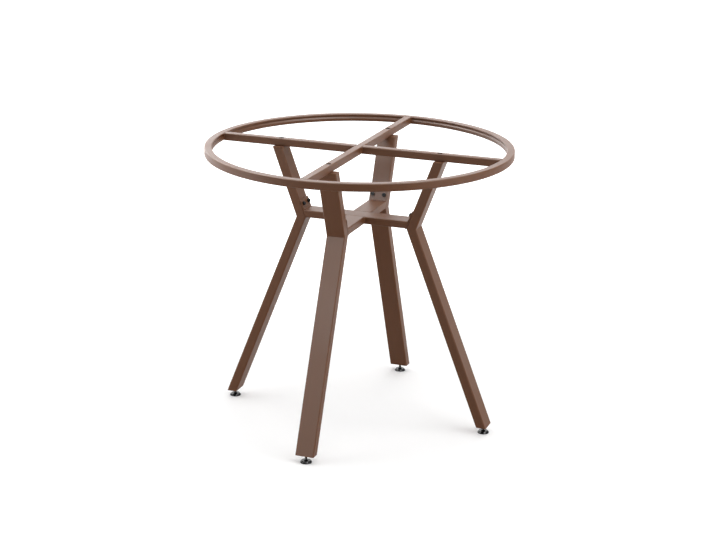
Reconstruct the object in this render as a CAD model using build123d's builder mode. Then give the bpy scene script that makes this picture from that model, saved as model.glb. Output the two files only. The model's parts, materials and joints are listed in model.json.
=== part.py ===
from build123d import *
import os
from math import atan2, cos, sin, tan

# Round table frame: a tube ring on four bent legs, tied at the knees by a flat cross

# Overall sizes, in millimetres
frame_height = 742.0        # floor to the seat of the table top
ring_diameter = 800.0       # outside of the top ring

# Top ring and cross bars, square tube
top_tube = 20.0
top_wall = 1.5
top_inner_corner = 1.0
ring_dish = 1.6             # hollow that rolling leaves in the ring's inner wall
weld_gap = 0.25             # root gap between a coped bar end and the ring

# Legs, rectangular tube bent at a mitred knee
leg_width = 50.0
leg_depth = 25.0
leg_wall = 1.5
leg_inner_corner = 1.5
leg_top_radius = 221.0      # middle of the leg under the cross bar
knee_radius = 153.0
knee_height = 540.0
foot_radius = 358.0         # middle of the leg at its lower end
foot_gap = 20.0             # floor to the leg's lower end
cap_thickness = 4.0         # plate that closes the upper end
foot_plate_thickness = 4.0  # plate that closes the lower end

# Hub cross at the knees, flat tube
arm_width = 50.0
arm_height = 20.0
arm_wall = 1.5
arm_inner_corner = 1.0
flange_thickness = 3.0      # plate on the end of each arm, bolted to the leg
flange_tab = 27.0           # how far that plate stands above the arm
flange_corner = 4.0

# Bolts that clamp the flanges to the legs
flange_bolt = 6.0
flange_bolt_length = 16.0
flange_bolt_head = 10.0
flange_bolt_head_height = 5.0
flange_bolt_key = 5.0
flange_bolt_side = 9.0      # bolt centre to the plate's side
flange_bolt_edge = 12.0     # bolt centre to the plate's upper edge
insert_diameter = 9.0
insert_length = 12.0
insert_bulb = 12.0          # collar that the rivet swells to behind the wall
insert_bulb_length = 3.0

# Bolts that clamp the bars to the legs
top_bolt = 8.0
top_bolt_length = 16.0
top_bolt_head = 13.0
top_bolt_head_height = 8.0
top_bolt_key = 6.0
top_bolt_setback = 3.0      # inwards from the middle of the leg's upper end
cap_nut_width = 13.0
cap_nut_height = 6.5

# Levelling feet
stud_diameter = 6.0
stud_spare = 3.0            # stud above its nut
foot_nut_width = 10.0
foot_nut_height = 5.0
pad_diameter = 30.0
pad_rim = 2.0               # upright edge of the pad
pad_height = 6.0
pad_top_diameter = 23.0
boss_diameter = 11.0
boss_height = 8.0           # floor to the top of the boss
pad_floor = 2.0             # plastic left under the stud

# Fits and edge breaks
bolt_clearance = 0.3        # round a bolt that passes through a hole
thread_clearance = 0.05     # round a thread in its own nut or seat
insert_clearance = 0.1      # round an insert in the leg's wall
access_clearance = 0.5      # round a bolt's head where it drops through a bar's top wall
key_depth = 3.0             # hexagon sockets in the bolts' heads
rim_round = 0.5
shoulder_round = 1.0
stud_chamfer = 0.5

# Levels, slopes and lengths that follow from the sizes above
bar_underside = frame_height - top_tube
cap_underside = bar_underside - cap_thickness
foot_plate_top = foot_gap + foot_plate_thickness
stud_top = foot_plate_top + foot_nut_height + stud_spare
bar_level = frame_height - top_tube / 2
hub_level = knee_height + arm_height / 2
ring_inner_radius = ring_diameter / 2 - top_tube
top_bolt_radius = leg_top_radius - top_bolt_setback
upper_lean = atan2(leg_top_radius - knee_radius, bar_underside - knee_height)
lower_lean = atan2(foot_radius - knee_radius, knee_height - foot_gap)
overrun = leg_width + leg_depth     # spare length that the cuts take off a leg's tube
upper_stock = (bar_underside - knee_height) / cos(upper_lean) + 2 * overrun
lower_stock = (knee_height - foot_gap) / cos(lower_lean) + 2 * overrun
leg_corner = leg_inner_corner + leg_wall
flange_top = arm_height / cos(upper_lean) + flange_tab      # up the leg's face from knee height
flange_bottom = -flange_thickness * tan(upper_lean)         # level with the arm's underside
flange_bolt_x = leg_width / 2 - flange_bolt_side
flange_bolt_y = flange_top - flange_bolt_edge
flange_bolt_points = [(-flange_bolt_x, flange_bolt_y), (flange_bolt_x, flange_bolt_y)]

legs = {"right": 0, "back": 90, "left": 180, "front": 270}
os.makedirs("parts", exist_ok=True)


def save(piece, name):
    piece.part.label = name
    export_step(piece.part, f"parts/{name}.step")


# Directions and planes of the leg that stands at an angle
def upright(height):
    return Vector(0, 0, height)


def outwards(angle):
    return Vector(1, 0, 0).rotate(Axis.Z, angle)


def across(angle):
    return Vector(0, 1, 0).rotate(Axis.Z, angle)


def upper_direction(angle):
    return outwards(angle) * sin(upper_lean) + upright(cos(upper_lean))


def lower_direction(angle):
    return outwards(angle) * sin(lower_lean) - upright(cos(lower_lean))


def knee(angle):
    return outwards(angle) * knee_radius + upright(knee_height)


def stock_plane(angle, direction):
    # square across a leg's tube, short of the knee by the spare length
    return Plane(knee(angle) - direction * overrun, x_dir=across(angle), z_dir=direction)


def level_plane(angle, height, start):
    # square across a level tube that runs outwards from a distance off the frame's axis
    return Plane(outwards(angle) * start + upright(height), x_dir=across(angle), z_dir=outwards(angle))


def mitre_plane(angle):
    # halves the bend, and faces up
    return Plane(knee(angle), x_dir=across(angle), z_dir=upper_direction(angle) - lower_direction(angle))


def leg_face(angle):
    # the upper length's inner face: local x runs across, local y up from knee height, local z to the hub
    to_hub = outwards(angle) * -cos(upper_lean) + upright(sin(upper_lean))
    on_face = knee(angle) + to_hub * (leg_depth / 2)
    at_knee_height = on_face + upper_direction(angle) * ((knee_height - on_face.Z) / cos(upper_lean))
    return Plane(at_knee_height, x_dir=-across(angle), z_dir=to_hub)


def tube_section(width, depth, wall, inner_corner):
    RectangleRounded(width, depth, inner_corner + wall)
    RectangleRounded(width - 2 * wall, depth - 2 * wall, inner_corner, mode=Mode.SUBTRACT)


# Top ring: the tube's section, dished on its inner side, turned about the frame's axis
with BuildPart() as top_ring:
    with BuildSketch(Plane.XZ):
        with BuildLine():
            Polyline(
                (ring_inner_radius, frame_height),
                (ring_diameter / 2, frame_height),
                (ring_diameter / 2, bar_underside),
                (ring_inner_radius, bar_underside),
            )
            SagittaArc((ring_inner_radius, bar_underside), (ring_inner_radius, frame_height), -ring_dish)
        make_face()
        fillet(vertices(), radius=top_inner_corner + top_wall)
        offset(amount=-top_wall, mode=Mode.SUBTRACT)
    revolve(axis=Axis.Z)
save(top_ring, "top_ring")


# Cross bars: tube coped to the ring, with a bolt hole above each leg
def cope_to_ring():
    with Locations(upright(frame_height)):
        Cylinder(ring_inner_radius - weld_gap, 2 * top_tube, mode=Mode.INTERSECT)


def drill_for_legs(angles):
    with Locations([outwards(angle) * top_bolt_radius + upright(frame_height) for angle in angles]):
        Hole(top_bolt_head / 2 + access_clearance, depth=top_tube / 2)
        Hole(top_bolt / 2 + bolt_clearance, depth=2 * top_tube)


with BuildPart() as cross_bar_long:
    with BuildSketch(level_plane(legs["back"], bar_level, 0)):
        tube_section(top_tube, top_tube, top_wall, top_inner_corner)
    extrude(amount=ring_diameter / 2, both=True)
    cope_to_ring()
    drill_for_legs([legs["front"], legs["back"]])
save(cross_bar_long, "cross_bar_long")

for side in ("right", "left"):
    angle = legs[side]
    with BuildPart() as cross_bar_half:
        with BuildSketch(level_plane(angle, bar_level, top_tube / 2)):
            tube_section(top_tube, top_tube, top_wall, top_inner_corner)
        extrude(amount=ring_diameter / 2)
        cope_to_ring()
        drill_for_legs([angle])
    save(cross_bar_half, f"cross_bar_{side}")

# Legs: two lengths of tube mitred at the knee, each closed by a plate that carries on its outline
for side, angle in legs.items():
    with BuildPart() as leg_upper:
        with BuildSketch(stock_plane(angle, upper_direction(angle))):
            tube_section(leg_width, leg_depth, leg_wall, leg_inner_corner)
        extrude(amount=upper_stock)
        split(bisect_by=mitre_plane(angle), keep=Keep.TOP)
        split(bisect_by=Plane.XY.offset(cap_underside), keep=Keep.BOTTOM)
        with BuildSketch(leg_face(angle)):
            with Locations(flange_bolt_points):
                Circle(insert_diameter / 2 + insert_clearance)
        extrude(amount=-2 * leg_wall, mode=Mode.SUBTRACT)
    save(leg_upper, f"leg_upper_{side}")

    with BuildPart() as leg_lower:
        with BuildSketch(stock_plane(angle, lower_direction(angle))):
            tube_section(leg_width, leg_depth, leg_wall, leg_inner_corner)
        extrude(amount=lower_stock)
        split(bisect_by=mitre_plane(angle), keep=Keep.BOTTOM)
        split(bisect_by=Plane.XY.offset(foot_plate_top), keep=Keep.TOP)
    save(leg_lower, f"leg_lower_{side}")

    with BuildPart() as leg_cap:
        with BuildSketch(stock_plane(angle, upper_direction(angle))):
            RectangleRounded(leg_width, leg_depth, leg_corner)
        extrude(amount=upper_stock)
        split(bisect_by=Plane.XY.offset(cap_underside), keep=Keep.TOP)
        split(bisect_by=Plane.XY.offset(bar_underside), keep=Keep.BOTTOM)
        with Locations(outwards(angle) * top_bolt_radius + upright(bar_underside)):
            Hole(top_bolt / 2 + thread_clearance, depth=2 * cap_thickness)
    save(leg_cap, f"leg_cap_{side}")

    with BuildPart() as foot_plate:
        with BuildSketch(stock_plane(angle, lower_direction(angle))):
            RectangleRounded(leg_width, leg_depth, leg_corner)
        extrude(amount=lower_stock)
        split(bisect_by=Plane.XY.offset(foot_plate_top), keep=Keep.BOTTOM)
        split(bisect_by=Plane.XY.offset(foot_gap), keep=Keep.TOP)
        with Locations(outwards(angle) * foot_radius + upright(foot_plate_top)):
            Hole(stud_diameter / 2 + thread_clearance, depth=2 * foot_plate_thickness)
    save(foot_plate, f"foot_plate_{side}")


# Hub cross: one bar right through and two short arms, their ends cut to the slope of the flanges
def trim_to_flange(angle):
    split(bisect_by=leg_face(angle).offset(flange_thickness), keep=Keep.TOP)


with BuildPart() as hub_bar:
    with BuildSketch(level_plane(legs["right"], hub_level, 0)):
        tube_section(arm_width, arm_height, arm_wall, arm_inner_corner)
    extrude(amount=leg_top_radius, both=True)
    trim_to_flange(legs["right"])
    trim_to_flange(legs["left"])
save(hub_bar, "hub_bar")

for side in ("front", "back"):
    angle = legs[side]
    with BuildPart() as hub_arm:
        with BuildSketch(level_plane(angle, hub_level, arm_width / 2)):
            tube_section(arm_width, arm_height, arm_wall, arm_inner_corner)
        extrude(amount=leg_top_radius)
        trim_to_flange(angle)
    save(hub_arm, f"hub_arm_{side}")

# Flange plates: each lies on its leg's inner face, closes an arm's end and stands above it for two bolts
for side, angle in legs.items():
    with BuildPart() as flange_plate:
        with BuildSketch(leg_face(angle)):
            with Locations((0, flange_bottom)):
                Rectangle(leg_width, flange_top - flange_bottom, align=(Align.CENTER, Align.MIN))
            fillet(vertices().group_by(Axis.Y)[-1], radius=flange_corner)
            with Locations(flange_bolt_points):
                Circle(flange_bolt / 2 + bolt_clearance, mode=Mode.SUBTRACT)
        extrude(amount=flange_thickness)
    save(flange_plate, f"flange_plate_{side}")

# Flange bolts: socket screws, two to a leg, square to its inner face
with BuildPart() as flange_bolts:
    for angle in legs.values():
        seat = leg_face(angle).offset(flange_thickness)
        with BuildSketch(seat):
            with Locations(flange_bolt_points):
                Circle(flange_bolt / 2)
        extrude(amount=-flange_bolt_length)
        with BuildSketch(seat):
            with Locations(flange_bolt_points):
                Circle(flange_bolt_head / 2)
        extrude(amount=flange_bolt_head_height)
        with BuildSketch(seat.offset(flange_bolt_head_height)):
            with Locations(flange_bolt_points):
                RegularPolygon(flange_bolt_key / 2, 6, major_radius=False)
        extrude(amount=-key_depth, mode=Mode.SUBTRACT)
save(flange_bolts, "flange_bolts")

# Threaded inserts: rivet nuts flush with the leg's face, swollen behind its wall
with BuildPart() as thread_inserts:
    for angle in legs.values():
        face = leg_face(angle)
        with BuildSketch(face):
            with Locations(flange_bolt_points):
                Circle(insert_diameter / 2)
        extrude(amount=-insert_length)
        with BuildSketch(face.offset(-leg_wall)):
            with Locations(flange_bolt_points):
                Circle(insert_bulb / 2)
        extrude(amount=-insert_bulb_length)
        with BuildSketch(face):
            with Locations(flange_bolt_points):
                Circle(flange_bolt / 2 + thread_clearance)
        extrude(amount=-insert_length, mode=Mode.SUBTRACT)
save(thread_inserts, "thread_inserts")

# Top bolts: socket screws inside the bars, each seated on the bar's lower wall
top_bolt_seat = Plane.XY.offset(bar_underside + top_wall)
with BuildPart() as top_bolts:
    with BuildSketch(top_bolt_seat):
        with PolarLocations(top_bolt_radius, len(legs)):
            Circle(top_bolt / 2)
    extrude(amount=-top_bolt_length)
    with BuildSketch(top_bolt_seat):
        with PolarLocations(top_bolt_radius, len(legs)):
            Circle(top_bolt_head / 2)
    extrude(amount=top_bolt_head_height)
    with BuildSketch(top_bolt_seat.offset(top_bolt_head_height)):
        with PolarLocations(top_bolt_radius, len(legs)):
            RegularPolygon(top_bolt_key / 2, 6, major_radius=False)
    extrude(amount=-key_depth, mode=Mode.SUBTRACT)
save(top_bolts, "top_bolts")


# Nuts welded inside the legs, with flats facing in and out
def nut_sections(radius, width, bore):
    with PolarLocations(radius, len(legs)):
        RegularPolygon(width / 2, 6, major_radius=False, rotation=30)
        Circle(bore / 2 + thread_clearance, mode=Mode.SUBTRACT)


with BuildPart() as cap_nuts:
    with BuildSketch(Plane.XY.offset(cap_underside)):
        nut_sections(top_bolt_radius, cap_nut_width, top_bolt)
    extrude(amount=-cap_nut_height)
save(cap_nuts, "cap_nuts")

with BuildPart() as foot_nuts:
    with BuildSketch(Plane.XY.offset(foot_plate_top)):
        nut_sections(foot_radius, foot_nut_width, stud_diameter)
    extrude(amount=foot_nut_height)
save(foot_nuts, "foot_nuts")

# Levelling feet: a moulded pad round the lower end of a threaded stud
stud_seat_radius = stud_diameter / 2 + thread_clearance
for side, angle in legs.items():
    foot = outwards(angle) * foot_radius
    with BuildPart() as foot_pad:
        with BuildSketch(Plane(foot, x_dir=outwards(angle), z_dir=-across(angle))):
            with BuildLine():
                Polyline(
                    (0, 0),
                    (pad_diameter / 2, 0),
                    (pad_diameter / 2, pad_rim),
                    (pad_top_diameter / 2, pad_height),
                    (boss_diameter / 2, pad_height),
                    (boss_diameter / 2, boss_height),
                    (stud_seat_radius, boss_height),
                    (stud_seat_radius, pad_floor),
                    (0, pad_floor),
                    close=True,
                )
            make_face()
            across_radius = vertices().group_by(Axis.X)
            fillet(across_radius[-2], radius=shoulder_round)
            fillet(across_radius[-1], radius=rim_round)
        revolve(axis=Axis(foot, upright(1)))
    save(foot_pad, f"foot_pad_{side}")

    with BuildPart() as foot_stud:
        with BuildSketch(Plane(foot + upright(pad_floor))):
            Circle(stud_diameter / 2)
        extrude(amount=stud_top - pad_floor)
        chamfer(foot_stud.edges().sort_by(Axis.Z)[-1], length=stud_chamfer)
    save(foot_stud, f"foot_stud_{side}")
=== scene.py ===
import json
import math

import bmesh
import bpy
from mathutils import Matrix, Vector


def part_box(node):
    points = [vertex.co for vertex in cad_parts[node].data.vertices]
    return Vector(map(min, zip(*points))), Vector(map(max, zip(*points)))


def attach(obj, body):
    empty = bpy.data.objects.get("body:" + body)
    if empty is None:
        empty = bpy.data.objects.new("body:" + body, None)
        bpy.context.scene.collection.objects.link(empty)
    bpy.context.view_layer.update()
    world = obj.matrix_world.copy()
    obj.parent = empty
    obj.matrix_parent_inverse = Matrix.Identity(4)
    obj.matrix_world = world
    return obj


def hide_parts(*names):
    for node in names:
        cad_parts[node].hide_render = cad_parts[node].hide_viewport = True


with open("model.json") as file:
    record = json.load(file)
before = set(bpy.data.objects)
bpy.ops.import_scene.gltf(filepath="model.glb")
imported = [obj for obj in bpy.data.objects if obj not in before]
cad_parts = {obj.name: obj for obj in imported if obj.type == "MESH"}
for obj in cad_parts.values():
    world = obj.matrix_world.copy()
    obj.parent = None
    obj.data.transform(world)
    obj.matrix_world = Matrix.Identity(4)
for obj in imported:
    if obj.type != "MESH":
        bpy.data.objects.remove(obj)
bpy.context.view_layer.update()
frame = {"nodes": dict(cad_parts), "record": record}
nodes = frame["nodes"]
print("frame loaded:", len(nodes), "nodes")


# Shader helpers

def newMaterial(name):
    material = bpy.data.materials.new(name)
    material.use_nodes = True
    shader = material.node_tree.nodes["Principled BSDF"]
    return material, material.node_tree, shader


def addNode(tree, kind, **values):
    node = tree.nodes.new(kind)
    for key, value in values.items():
        setattr(node, key, value)
    return node


def setInputs(node, values):
    for socket, value in values.items():
        node.inputs[socket].default_value = value


def objectPoints(tree):
    return addNode(tree, "ShaderNodeTexCoord").outputs["Object"]


def newGroup(name, inputs, outputs):
    group = bpy.data.node_groups.new(name, "ShaderNodeTree")
    for label, kind in inputs:
        group.interface.new_socket(label, in_out="INPUT", socket_type=kind)
    for label, kind in outputs:
        group.interface.new_socket(label, in_out="OUTPUT", socket_type=kind)
    return group, group.nodes.new("NodeGroupInput"), group.nodes.new("NodeGroupOutput")


# Orange peel: the fine waves that a baked or moulded skin sets with, and slow drifts in tone and gloss

peelTexture = {
    "peelDetail": 1.5, "grainDetail": 1.0, "driftDetail": 3.0,
    "grainShare": 0.3,                      # height of the grain against the peel it rides on
    "driftLow": 0.3, "driftHigh": 0.7,      # stretch of the drift that the gloss follows
}


def makeOrangePeel():
    group, entry, leave = newGroup(
        "orangePeel",
        [("Vector", "NodeSocketVector"), ("Peel Scale", "NodeSocketFloat"),
         ("Grain Scale", "NodeSocketFloat"), ("Drift Scale", "NodeSocketFloat"),
         ("Rough Low", "NodeSocketFloat"), ("Rough High", "NodeSocketFloat")],
        [("Height", "NodeSocketFloat"), ("Drift", "NodeSocketFloat"), ("Roughness", "NodeSocketFloat")])
    links = group.links
    waves = {}
    for name in ("peel", "grain", "drift"):
        noise = addNode(group, "ShaderNodeTexNoise")
        setInputs(noise, {"Detail": peelTexture[name + "Detail"]})
        links.new(entry.outputs["Vector"], noise.inputs["Vector"])
        links.new(entry.outputs[name.title() + " Scale"], noise.inputs["Scale"])
        waves[name] = noise.outputs["Fac"]
    height = addNode(group, "ShaderNodeMath", operation="MULTIPLY_ADD")
    links.new(waves["grain"], height.inputs[0])
    height.inputs[1].default_value = peelTexture["grainShare"]
    links.new(waves["peel"], height.inputs[2])
    rough = addNode(group, "ShaderNodeMapRange")
    setInputs(rough, {"From Min": peelTexture["driftLow"], "From Max": peelTexture["driftHigh"]})
    links.new(waves["drift"], rough.inputs["Value"])
    links.new(entry.outputs["Rough Low"], rough.inputs["To Min"])
    links.new(entry.outputs["Rough High"], rough.inputs["To Max"])
    links.new(height.outputs[0], leave.inputs["Height"])
    links.new(waves["drift"], leave.inputs["Drift"])
    links.new(rough.outputs["Result"], leave.inputs["Roughness"])
    return group


orangePeel = makeOrangePeel()


# A skin of one colour with the orange peel in it
def makeSkin(name, look):
    material, tree, shader = newMaterial(name)
    links = tree.links
    peel = addNode(tree, "ShaderNodeGroup", node_tree=orangePeel)
    setInputs(peel, {"Peel Scale": look["peelScale"], "Grain Scale": look["grainScale"],
                     "Drift Scale": look["driftScale"],
                     "Rough Low": look["roughLow"], "Rough High": look["roughHigh"]})
    links.new(objectPoints(tree), peel.inputs["Vector"])
    tone = addNode(tree, "ShaderNodeMix", data_type="RGBA")
    setInputs(tone, {"A": (*look["darkTone"], 1), "B": (*look["lightTone"], 1)})
    links.new(peel.outputs["Drift"], tone.inputs["Factor"])
    bump = addNode(tree, "ShaderNodeBump")
    setInputs(bump, {"Strength": look["bump"], "Distance": look["bumpDepth"]})
    links.new(peel.outputs["Height"], bump.inputs["Height"])
    links.new(tone.outputs["Result"], shader.inputs["Base Color"])
    links.new(peel.outputs["Roughness"], shader.inputs["Roughness"])
    links.new(bump.outputs["Normal"], shader.inputs["Normal"])
    setInputs(shader, {"Metallic": look["metallic"], "Specular IOR Level": look["specular"]})
    return material


powderCoat = {
    "darkTone": (0.096, 0.0345, 0.0108), "lightTone": (0.108, 0.0385, 0.0122),
    "roughLow": 0.42, "roughHigh": 0.5, "specular": 0.2, "metallic": 0.0,
    "peelScale": 700.0, "grainScale": 2600.0, "driftScale": 7.0, "bump": 0.3, "bumpDepth": 0.0002,
}
blackOxide = {
    "darkTone": (0.004, 0.004, 0.004), "lightTone": (0.007, 0.007, 0.007),
    "roughLow": 0.3, "roughHigh": 0.45, "specular": 0.07, "metallic": 0.0,
    "peelScale": 1800.0, "grainScale": 6000.0, "driftScale": 60.0, "bump": 0.1, "bumpDepth": 0.0001,
}
footMoulding = {
    "darkTone": (0.004, 0.004, 0.0045), "lightTone": (0.007, 0.007, 0.0075),
    "roughLow": 0.14, "roughHigh": 0.2, "specular": 0.09, "metallic": 0.0,
    "peelScale": 1200.0, "grainScale": 5000.0, "driftScale": 40.0, "bump": 0.05, "bumpDepth": 0.0001,
}
studSteel = {
    "darkTone": (0.014, 0.013, 0.012), "lightTone": (0.026, 0.025, 0.024),
    "roughLow": 0.3, "roughHigh": 0.45, "specular": 0.5, "metallic": 1.0,
    "peelScale": 2500.0, "grainScale": 8000.0, "driftScale": 80.0, "bump": 0.1, "bumpDepth": 0.0001,
}
zincPlate = {
    "darkTone": (0.42, 0.42, 0.40), "lightTone": (0.55, 0.55, 0.52),
    "roughLow": 0.3, "roughHigh": 0.45, "specular": 0.5, "metallic": 1.0,
    "peelScale": 1800.0, "grainScale": 6000.0, "driftScale": 60.0, "bump": 0.1, "bumpDepth": 0.0001,
}
finishes = {
    "frame_coat": makeSkin("brownPowderCoat", powderCoat),
    "bolt_black": makeSkin("blackOxideSteel", blackOxide),
    "foot_plastic": makeSkin("blackMoulding", footMoulding),
    "stud_steel": makeSkin("blackenedStud", studSteel),
    "zinc_plate": makeSkin("zincPlatedSteel", zincPlate),
}
for subpart in frame["record"]["subparts"]:
    materials = nodes[subpart["node"]].data.materials
    materials.clear()
    materials.append(finishes[subpart["material_slot"]])
print("finishes set:", ", ".join(finishes))


# Mesh helpers

tolerance = {"merge": 1e-7, "touch": 1e-6}      # metres
sides = {"right": Vector((1, 0, 0)), "back": Vector((0, 1, 0)),
         "left": Vector((-1, 0, 0)), "front": Vector((0, -1, 0))}


def toMesh(name, bm):
    mesh = bpy.data.meshes.new(name)
    bm.to_mesh(mesh)
    bm.free()
    return mesh


def addObject(name, data):
    piece = bpy.data.objects.new(name, data)
    bpy.context.scene.collection.objects.link(piece)
    return piece


def joinPiece(name, bm, body, slot, smooth=True):
    bmesh.ops.remove_doubles(bm, verts=bm.verts, dist=tolerance["merge"])
    bmesh.ops.recalc_face_normals(bm, faces=bm.faces)
    mesh = toMesh(name, bm)
    for face in mesh.polygons:
        face.use_smooth = smooth
    mesh.materials.append(finishes[slot])
    piece = addObject(name, mesh)
    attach(piece, body)
    return piece


def corners(node):
    low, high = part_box(node)
    return Vector(low), Vector(high)


# Copies a shape that was modelled at the origin to each of its places
def placeCopies(bm, shape, places):
    for place in places:
        count = len(bm.verts)
        bm.from_mesh(shape)
        bm.verts.ensure_lookup_table()
        bmesh.ops.transform(bm, matrix=place, verts=bm.verts[count:])
    bpy.data.meshes.remove(shape)


# Stands a shape that runs along Z at a start, towards an end
def standAt(start, end):
    return Matrix.Translation(start) @ (end - start).to_track_quat("Z", "Y").to_matrix().to_4x4()


# A quarter turn from a side's direction
def sideways(out):
    return Vector((-out.y, out.x, 0))


# Top ring: square tube whose inner wall folded into the tube as it was rolled

ringTube = {
    "corner": 0.0025, "cornerSteps": 8, "flatSteps": 9, "foldSteps": 40, "aroundSteps": 256,
    "foldTop": 0.0026, "foldBottom": 0.0126,    # both down from the top face
    "foldDepth": 0.0027,
}


def makeRing():
    low, high = corners("top_ring")
    side = high.z - low.z
    foldTop, foldBottom = high.z - ringTube["foldTop"], high.z - ringTube["foldBottom"]
    bm = bmesh.new()
    middle = Matrix.Translation((high.x - side / 2, 0, high.z - side / 2))
    bmesh.ops.create_grid(bm, x_segments=1, y_segments=1, size=side / 2,
                          matrix=middle @ Matrix.Rotation(math.pi / 2, 4, "X"))
    bmesh.ops.bevel(bm, geom=bm.verts[:], offset=ringTube["corner"], segments=ringTube["cornerSteps"],
                    profile=0.5, affect="VERTICES", material=-1)
    wallLimit = high.x - side + tolerance["touch"]      # only the inner wall's flat is nearer the axis
    flats = [edge for edge in bm.edges if edge.calc_length() > side / 2]
    wall = [edge for edge in flats if max(vert.co.x for vert in edge.verts) < wallLimit]
    others = [edge for edge in flats if edge not in wall]
    bmesh.ops.subdivide_edges(bm, edges=others, cuts=ringTube["flatSteps"])
    bmesh.ops.subdivide_edges(bm, edges=wall, cuts=ringTube["foldSteps"])
    for vert in bm.verts:
        share = (vert.co.z - foldBottom) / (foldTop - foldBottom)
        if vert.co.x < wallLimit and 0 < share < 1:
            vert.co.x += ringTube["foldDepth"] * math.sin(math.pi * share) ** 2
    bmesh.ops.delete(bm, geom=bm.faces[:], context="FACES_ONLY")
    bmesh.ops.spin(bm, geom=bm.verts[:] + bm.edges[:], cent=(0, 0, 0), axis=(0, 0, 1),
                   angle=2 * math.pi, steps=ringTube["aroundSteps"], use_merge=True)
    ring = joinPiece("rolledRing", bm, "frame", "frame_coat")
    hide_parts("top_ring")


makeRing()
print("ring rolled")


# Weld beads, laid in the corners where tube meets tube and coated over

weldBead = {
    "hubRadius": 0.0024, "flangeRadius": 0.0022, "barRadius": 0.0017, "ringRadius": 0.0019,
    "ripple": 0.0010, "leastRipples": 6, "swell": 0.12, "endTaper": 0.55, "segments": 12,
    "trim": 0.0012,     # kept clear of the faces that are ground flush
}


def makeBead(length, radius):
    bm = bmesh.new()
    steps = max(weldBead["leastRipples"], round(length / weldBead["ripple"]))
    size = weldBead["endTaper"]
    circle = bmesh.ops.create_circle(bm, cap_ends=True, segments=weldBead["segments"],
                                     radius=radius * size)
    face = circle["verts"][0].link_faces[0]
    for step in range(1, steps + 1):
        grown = bmesh.ops.extrude_face_region(bm, geom=[face])["geom"]
        if step > 1:
            bmesh.ops.delete(bm, geom=[face], context="FACES_ONLY")     # no wall across the bead
        face = [item for item in grown if isinstance(item, bmesh.types.BMFace)][0]
        bmesh.ops.translate(bm, verts=face.verts, vec=(0, 0, length / steps))
        wanted = weldBead["endTaper"] if step == steps else 1 - weldBead["swell"] * (step % 2)
        middle = Matrix.Translation(-face.calc_center_median())
        bmesh.ops.scale(bm, verts=face.verts, vec=Vector((1, 1, 1)) * (wanted / size), space=middle)
        size = wanted
    return toMesh("bead", bm)


def layBeads(bm, runs, radius):
    length = (runs[0][1] - runs[0][0]).length
    placeCopies(bm, makeBead(length, radius), [standAt(start, end) for start, end in runs])


# Runs that stand on their spots, between two levels
def uprights(spots, low, high):
    trim = weldBead["trim"]
    return [(Vector((x, y, low + trim)), Vector((x, y, high - trim))) for x, y in spots]


def makeWelds():
    bm = bmesh.new()
    hubLow, hubHigh = corners("hub_bar")
    armLow, armHigh = corners("hub_arm_front")
    barLow, barHigh = corners("cross_bar_long")
    side = barHigh.x
    hubCorners = [(x, y) for x in (armLow.x, armHigh.x) for y in (hubLow.y, hubHigh.y)]
    barCorners = [(x, y) for x in (-side, side) for y in (-side, side)]
    plateEdges, ringCorners = [], []
    for out in sides.values():
        along = sideways(out)
        edge = out * hubHigh.x + Vector((0, 0, hubHigh.z))
        half = along * (armHigh.x - 2 * weldBead["trim"])
        plateEdges.append((edge - half, edge + half))
        ringCorners += [(out * barHigh.y + along * way).xy for way in (-side, side)]
    layBeads(bm, uprights(hubCorners, hubLow.z, hubHigh.z), weldBead["hubRadius"])
    layBeads(bm, plateEdges, weldBead["flangeRadius"])
    layBeads(bm, uprights(barCorners, barLow.z, barHigh.z), weldBead["barRadius"])
    layBeads(bm, uprights(ringCorners, barLow.z, barHigh.z), weldBead["ringRadius"])
    joinPiece("weldBeads", bm, "frame", "frame_coat")


makeWelds()
print("welds laid")


# Studs of the levelling feet, with their thread

footThread = {
    "pitch": 0.001, "depth": 0.00061, "stepsPerTurn": 24,
    "crest": 0.125, "root": 0.25,       # flats, as shares of the pitch
    "lead": 0.0006, "tip": 0.86,        # length of each drawn-in end, and its tip against the root
}


# A stud from the origin up, its thread spun as one helix and cut level at both ends
def makeThread(radius, length):
    minor = radius - footThread["depth"]
    pitch, steps, tip = footThread["pitch"], footThread["stepsPerTurn"], footThread["tip"]
    flank = (1 - footThread["crest"] - footThread["root"]) / 2
    outline = [(minor, 0), (radius, flank), (radius, flank + footThread["crest"]),
               (minor, 1 - footThread["root"]), (minor, 1)]
    bm = bmesh.new()
    points = [bm.verts.new((reach, 0, (rise - 1) * pitch)) for reach, rise in outline]
    edges = [bm.edges.new(pair) for pair in zip(points, points[1:])]
    turns = math.ceil(length / pitch) + 1
    bmesh.ops.spin(bm, geom=points + edges, cent=(0, 0, 0), axis=(0, 0, 1), dvec=(0, 0, pitch / steps),
                   angle=2 * math.pi * turns, steps=steps * turns)
    bmesh.ops.remove_doubles(bm, verts=bm.verts, dist=tolerance["touch"])
    for height, way in ((0, -1), (length, 1)):
        bmesh.ops.bisect_plane(bm, geom=bm.verts[:] + bm.edges[:] + bm.faces[:], dist=tolerance["merge"],
                               plane_co=(0, 0, height), plane_no=(0, 0, way), clear_outer=True)
    bmesh.ops.holes_fill(bm, edges=[edge for edge in bm.edges if edge.is_boundary])
    for vert in bm.verts:
        near = min(vert.co.z, length - vert.co.z) / footThread["lead"]
        limit = minor * (tip + (1 - tip) * near)
        if near < 1 and vert.co.xy.length > limit:
            vert.co.xy *= limit / vert.co.xy.length
    return toMesh("thread", bm)


def makeStuds():
    for side in sides:
        low, high = corners("foot_stud_" + side)
        middle = (low + high) / 2
        bm = bmesh.new()
        thread = makeThread((high.x - low.x) / 2, high.z - low.z)
        placeCopies(bm, thread, [Matrix.Translation((middle.x, middle.y, low.z))])
        stud = joinPiece("threadedStud" + side.title(), bm, side + "_foot", "stud_steel")
        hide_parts("foot_stud_" + side)


makeStuds()
print("studs threaded")


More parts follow.
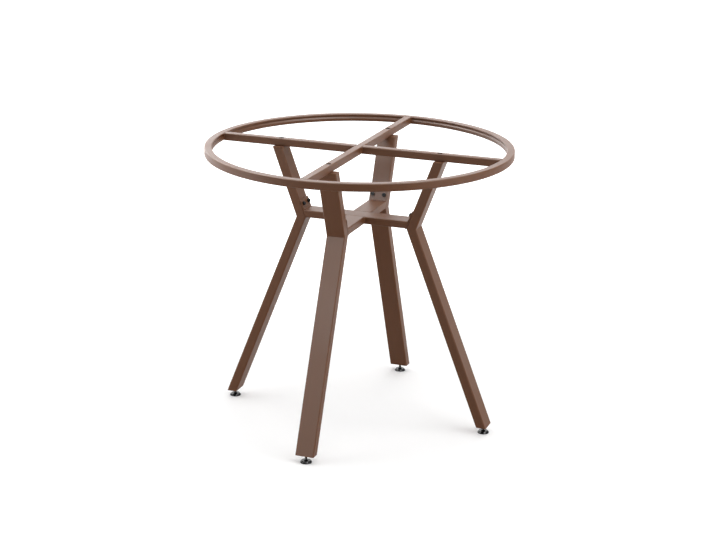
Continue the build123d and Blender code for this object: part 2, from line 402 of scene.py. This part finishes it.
# Cap screws that clamp the hub's plates to the legs

capScrew = {
    "headRadius": 0.005, "headHeight": 0.005, "rim": 0.0006, "seatRim": 0.00024,
    "key": 0.005, "keySides": 6, "keyDepth": 0.003,
    "knurlTop": 0.00096, "knurlBottom": 0.0006,     # in from either end of the head
    "knurlDepth": 0.0002,
    "shankRadius": 0.003, "shankLength": 0.016, "shankChamfer": 0.0006, "segments": 48,
    "fromEdge": 0.012, "fromSide": 0.009,       # in from the plate's upper edge and its sides
}


def openLoop(bm, verts):
    return [edge for edge in bm.edges if edge.verts[0] in verts and edge.verts[1] in verts]


# The next loop along the screw's outline, at a height and a distance off its axis
def nextLoop(bm, loop, height, radius=None):
    made = bmesh.ops.extrude_edge_only(bm, edges=openLoop(bm, loop))["geom"]
    verts = {item for item in made if isinstance(item, bmesh.types.BMVert)}
    for vert in verts:
        vert.co.z = height
        if radius:
            vert.co.xy = vert.co.xy.normalized() * radius
    return verts


def makeScrew():
    head, top, rim = capScrew["headRadius"], capScrew["headHeight"], capScrew["rim"]
    shank, tip, chamfer = capScrew["shankRadius"], -capScrew["shankLength"], capScrew["shankChamfer"]
    seatRim, keySides, count = capScrew["seatRim"], capScrew["keySides"], capScrew["segments"]
    keyCorner = capScrew["key"] / 2 / math.cos(math.pi / keySides)
    lift = Matrix.Translation((0, 0, top))
    bm = bmesh.new()
    bmesh.ops.create_circle(bm, segments=keySides, radius=keyCorner, matrix=lift)
    bmesh.ops.subdivide_edges(bm, edges=bm.edges[:], cuts=count // keySides - 1)
    socket = set(bm.verts)
    brim = set(bmesh.ops.create_circle(bm, segments=count, radius=head - rim, matrix=lift)["verts"])
    bmesh.ops.bridge_loops(bm, edges=openLoop(bm, socket) + openLoop(bm, brim))
    bottom = nextLoop(bm, socket, top - capScrew["keyDepth"])
    bmesh.ops.contextual_create(bm, geom=openLoop(bm, bottom))
    loop = nextLoop(bm, brim, top - rim, head)
    for height in (top - capScrew["knurlTop"], capScrew["knurlBottom"]):
        loop = nextLoop(bm, loop, height, head)
        for vert in loop:
            if round(math.atan2(vert.co.y, vert.co.x) / (2 * math.pi) * count) % 2:
                vert.co.xy *= 1 - capScrew["knurlDepth"] / head     # every second one is pressed in
    for height, radius in ((seatRim, head), (0, head - seatRim), (0, shank), (tip + chamfer, shank),
                           (tip, shank - chamfer)):
        loop = nextLoop(bm, loop, height, radius)
    bmesh.ops.contextual_create(bm, geom=openLoop(bm, loop))
    return toMesh("screw", bm)


# Places of a leg's two screws, square to its plate's inner face
def screwPlaces(side):
    plate = nodes["flange_plate_" + side].data
    normal = max(plate.polygons, key=lambda face: face.area).normal
    axis = normal * math.copysign(1, normal.z)      # up and towards the hub
    along = sideways(sides[side])
    upwards = along.cross(axis)
    lines = (axis, upwards, along)
    face, edge, half = (max(vert.co.dot(line) for vert in plate.vertices) for line in lines)
    middle = axis * face + upwards * (edge - capScrew["fromEdge"])
    reach = along * (half - capScrew["fromSide"])
    return [standAt(seat, seat + axis) for seat in (middle - reach, middle + reach)]


def makeScrews():
    bm = bmesh.new()
    placeCopies(bm, makeScrew(), [place for side in sides for place in screwPlaces(side)])
    screws = joinPiece("capScrews", bm, "frame", "bolt_black", smooth=False)
    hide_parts("flange_bolts")


makeScrews()
print("screws set")


# Floor, light and background

studio = {
    "floorSize": 30.0, "floorColour": (0.8, 0.8, 0.8), "floorRough": 0.9, "floorSpecular": 0.1,
    "glowNear": 0.22, "glowFar": 1.0,       # the floor's own white, by distance
    "glowStart": 0.5, "glowEnd": 1.9,
    "backdrop": 1.0, "ambient": 0.05,
    "aim": (0.0, 0.0, 0.45),
}
# widths and heights in metres
softboxes = {
    "top": {"place": (0.2, 0.3, 3.6), "size": (4.5, 4.5), "power": 134.0},
    "front": {"place": (-1.6, -1.2, 0.5), "size": (1.0, 0.8), "power": 8.5},
    "right": {"place": (4.2, -0.4, 1.6), "size": (4.0, 3.0), "power": 108.0},
    "left": {"place": (-4.2, -0.8, 2.0), "size": (5.5, 3.6), "power": 72.0},
    "back": {"place": (-0.9, 4.6, 1.9), "size": (6.0, 2.4), "power": 51.0},
}
# white cards that only the gloss picks up, turned by degrees from straight ahead
cards = {
    "left": {"turn": -82, "distance": 2.6, "middle": 0.45, "size": (2.6, 0.9), "brightness": 2.6},
    "upperLeft": {"turn": -92, "distance": 3.5, "middle": 4.6, "size": (5.0, 2.5), "brightness": 26.0},
    "front": {"turn": 5, "distance": 4.0, "middle": 4.9, "size": (4.0, 2.9), "brightness": 5.0},
    "frontLow": {"turn": -19, "distance": 6.0, "middle": 3.8, "size": (2.8, 1.8), "brightness": 28.0},
    "upperRight": {"turn": 62, "distance": 3.5, "middle": 4.6, "size": (2.4, 2.5), "brightness": 38.0},
    "right": {"turn": 104, "distance": 3.5, "middle": 4.6, "size": (2.0, 2.5), "brightness": 8.0},
    "rightLow": {"turn": 88, "distance": 3.0, "middle": 0.4, "size": (2.4, 0.8), "brightness": 2.5},
    "back": {"turn": 200, "distance": 4.5, "middle": 2.2, "size": (6.0, 2.4), "brightness": 1.3},
    "leftBack": {"turn": -127, "distance": 3.5, "middle": 1.2, "size": (2.4, 2.4), "brightness": 4.0},
}


# Is Camera, Glossy or Transmission Ray: what sees the white background
def seesBackground(tree):
    path = addNode(tree, "ShaderNodeLightPath")
    first = addNode(tree, "ShaderNodeMath", operation="MAXIMUM")
    tree.links.new(path.outputs["Is Camera Ray"], first.inputs[0])
    tree.links.new(path.outputs["Is Glossy Ray"], first.inputs[1])
    both = addNode(tree, "ShaderNodeMath", operation="MAXIMUM")
    tree.links.new(first.outputs[0], both.inputs[0])
    tree.links.new(path.outputs["Is Transmission Ray"], both.inputs[1])
    return both.outputs[0]


def makeWorld():
    world = bpy.data.worlds.new("whiteStudio")
    bpy.context.scene.world = world
    world.use_nodes = True
    tree = world.node_tree
    background = tree.nodes["Background"]
    setInputs(background, {"Color": (1, 1, 1, 1)})
    strength = addNode(tree, "ShaderNodeMix", data_type="FLOAT")
    setInputs(strength, {"A": studio["ambient"], "B": studio["backdrop"]})
    tree.links.new(seesBackground(tree), strength.inputs["Factor"])
    tree.links.new(strength.outputs["Result"], background.inputs["Strength"])


def makeFloor():
    bm = bmesh.new()
    bmesh.ops.create_grid(bm, x_segments=1, y_segments=1, size=studio["floorSize"] / 2)
    mesh = toMesh("studioFloor", bm)
    floor = addObject("studioFloor", mesh)
    material, tree, shader = newMaterial("paleFloor")
    setInputs(shader, {"Base Color": (*studio["floorColour"], 1), "Roughness": studio["floorRough"],
                       "Specular IOR Level": studio["floorSpecular"], "Emission Color": (1, 1, 1, 1)})
    away = addNode(tree, "ShaderNodeVectorMath", operation="LENGTH")
    tree.links.new(objectPoints(tree), away.inputs[0])
    glow = addNode(tree, "ShaderNodeMapRange", interpolation_type="SMOOTHSTEP")
    setInputs(glow, {"From Min": studio["glowStart"], "From Max": studio["glowEnd"],
                     "To Min": studio["glowNear"], "To Max": studio["glowFar"]})
    tree.links.new(away.outputs["Value"], glow.inputs["Value"])
    seen = addNode(tree, "ShaderNodeMath", operation="MULTIPLY")
    tree.links.new(seesBackground(tree), seen.inputs[0])
    tree.links.new(glow.outputs["Result"], seen.inputs[1])
    tree.links.new(seen.outputs[0], shader.inputs["Emission Strength"])
    mesh.materials.append(material)


def makeLamp(name, place, size, power):
    light = bpy.data.lights.new(name, "AREA")
    light.shape = "RECTANGLE"
    light.size, light.size_y = size
    light.energy = power
    lamp = addObject(name, light)
    lamp.location = place
    lamp.rotation_euler = (Vector(studio["aim"]) - lamp.location).to_track_quat("-Z", "Y").to_euler()
    lamp.visible_camera = False
    return lamp


def makeCard(name, turn, distance, middle, size, brightness):
    angle = math.radians(turn)
    width, height = size
    place = (distance * math.sin(angle), -distance * math.cos(angle), middle)
    card = makeLamp(name, place, size, brightness * math.pi * width * height)
    card.visible_diffuse = False


makeWorld()
makeFloor()
for name, values in softboxes.items():
    makeLamp(name + "Softbox", **values)
for name, values in cards.items():
    makeCard(name + "Card", **values)
bpy.context.scene.view_settings.view_transform = "Standard"
print("studio lit")


# Camera, at the photograph's angle

view = {
    "azimuth": 20.40, "elevation": 17.26, "roll": 0.74,                         # degrees
    "target": (0.0, 0.0, 0.405), "distance": 4.61, "farthest": 200.0,           # metres
    "focalPixels": 1747.7, "imageWidth": 716, "sensor": 36.0,
}


def makeCamera():
    azimuth, elevation, roll = (math.radians(view[key]) for key in ("azimuth", "elevation", "roll"))
    back = Vector((math.sin(azimuth) * math.cos(elevation), -math.cos(azimuth) * math.cos(elevation),
                   math.sin(elevation)))
    lens = bpy.data.cameras.new("photoCamera")
    lens.sensor_fit = "HORIZONTAL"
    lens.sensor_width = view["sensor"]
    lens.lens = view["focalPixels"] / view["imageWidth"] * view["sensor"]
    lens.clip_end = view["farthest"]
    camera = addObject("photoCamera", lens)
    turned = back.to_track_quat("Z", "Y").to_matrix() @ Matrix.Rotation(roll, 3, "Z")
    place = Vector(view["target"]) + back * view["distance"]
    camera.matrix_world = Matrix.Translation(place) @ turned.to_4x4()
    bpy.context.scene.camera = camera


makeCamera()
print("camera placed")
